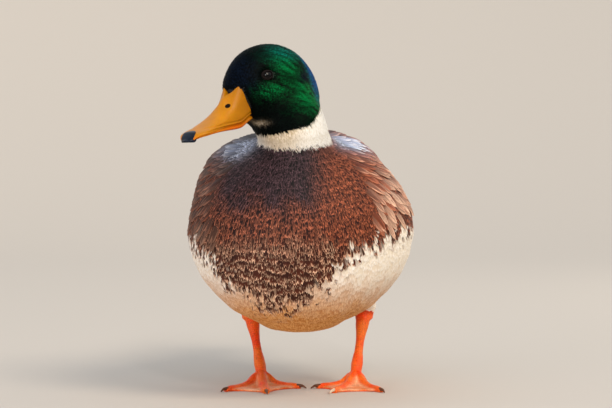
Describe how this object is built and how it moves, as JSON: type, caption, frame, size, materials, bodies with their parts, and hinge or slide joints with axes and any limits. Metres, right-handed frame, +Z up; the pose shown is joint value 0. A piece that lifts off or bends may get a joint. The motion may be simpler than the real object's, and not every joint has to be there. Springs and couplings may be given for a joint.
{
  "type": "mallard duck",
  "caption": "Life-size standing drake mallard with folded wings, drawn-in neck and its head turned to its right, on two webbed feet. A still model.",
  "frame": {"origin": "bottom centre of the bounding box, on the floor the bird stands on", "axes": "+Z up, the bird's body faces -Y, and its left side is +X"},
  "size_m": [0.1558, 0.3408, 0.2345],
  "materials": {
    "head_feathers": "glossy dark green, blue and black feathers",
    "ring_feathers": "soft white feathers",
    "breast_feathers": "soft chestnut brown feathers with pale tips",
    "flank_feathers": "soft cream feathers",
    "wing_feathers": "grey-brown vaned feathers",
    "tail_feathers": "pale grey vaned feathers",
    "black_feathers": "black feathers with a green gloss",
    "bill_horn": "satin yellow horn",
    "nail_horn": "satin black horn",
    "leg_skin": "scaled orange skin",
    "claw_horn": "satin brown horn",
    "eye": "wet dark brown"
  },
  "bodies": {
    "root": {"trunk": "breast_feathers", "neck": "ring_feathers", "head": "head_feathers", "bill_upper": "bill_horn", "bill_lower": "bill_horn", "bill_nail": "nail_horn", "eye_left": "eye", "eye_right": "eye", "wing_left": "wing_feathers", "wing_right": "wing_feathers", "primaries_left": "wing_feathers", "primaries_right": "wing_feathers", "tail": "tail_feathers", "tail_curl_left": "black_feathers", "tail_curl_right": "black_feathers", "shank_left": "flank_feathers", "shank_right": "flank_feathers", "tarsus_left": "leg_skin", "tarsus_right": "leg_skin", "foot_left": "leg_skin", "foot_right": "leg_skin", "hind_toe_left": "leg_skin", "hind_toe_right": "leg_skin", "claw_inner_left": "claw_horn", "claw_middle_left": "claw_horn", "claw_outer_left": "claw_horn", "claw_inner_right": "claw_horn", "claw_middle_right": "claw_horn", "claw_outer_right": "claw_horn"}
  },
  "joints": []
}
